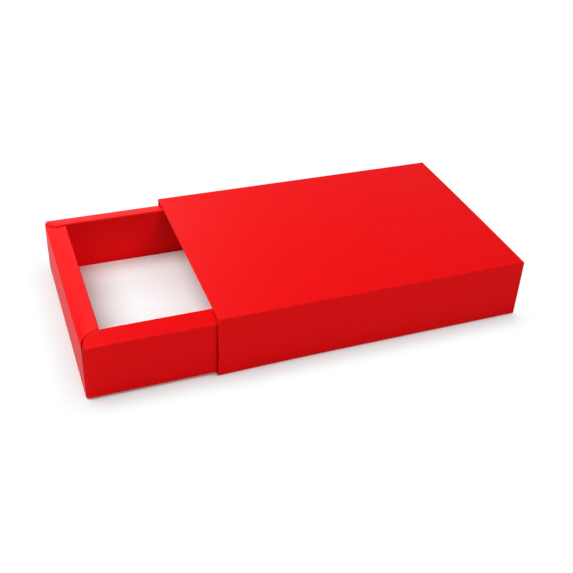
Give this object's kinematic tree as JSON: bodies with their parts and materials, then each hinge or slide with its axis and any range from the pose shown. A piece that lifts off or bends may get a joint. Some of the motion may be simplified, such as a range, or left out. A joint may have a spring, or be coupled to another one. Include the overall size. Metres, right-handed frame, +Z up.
{
  "type": "sliding drawer gift box",
  "caption": "Low red card gift box: an open-ended folded sleeve with a hollow-walled tray that slides out of either end, wide sloped rim and white floor pad.",
  "frame": {"origin": "middle of the sleeve's underside, on the surface that the box stands on", "axes": "+X along the slide, away from the pulled-out tray; +Y to the sleeve's seam wall; +Z up"},
  "size_m": [0.275, 0.14, 0.04],
  "materials": {
    "red_card": "matte dyed card",
    "white_board": "matte white-faced board",
    "tape": "pale double-sided tissue tape"
  },
  "bodies": {
    "sleeve_body": {"sleeve": "red_card", "sleeve_seam_tape": "tape"},
    "tray_body": {"tray": "red_card", "floor_pad": "white_board", "foot_tape_front": "tape", "foot_tape_back": "tape", "foot_tape_left": "tape", "foot_tape_right": "tape", "pad_tape_front": "tape", "pad_tape_back": "tape", "gusset_tape_front_left": "tape", "gusset_tape_front_right": "tape", "gusset_tape_back_left": "tape", "gusset_tape_back_right": "tape"}
  },
  "joints": [
    {"name": "tray_slide", "type": "slide", "parent": "sleeve_body", "child": "tray_body", "axis": [1, 0, 0], "range_m": [-0.124, 0.275]}
  ]
}
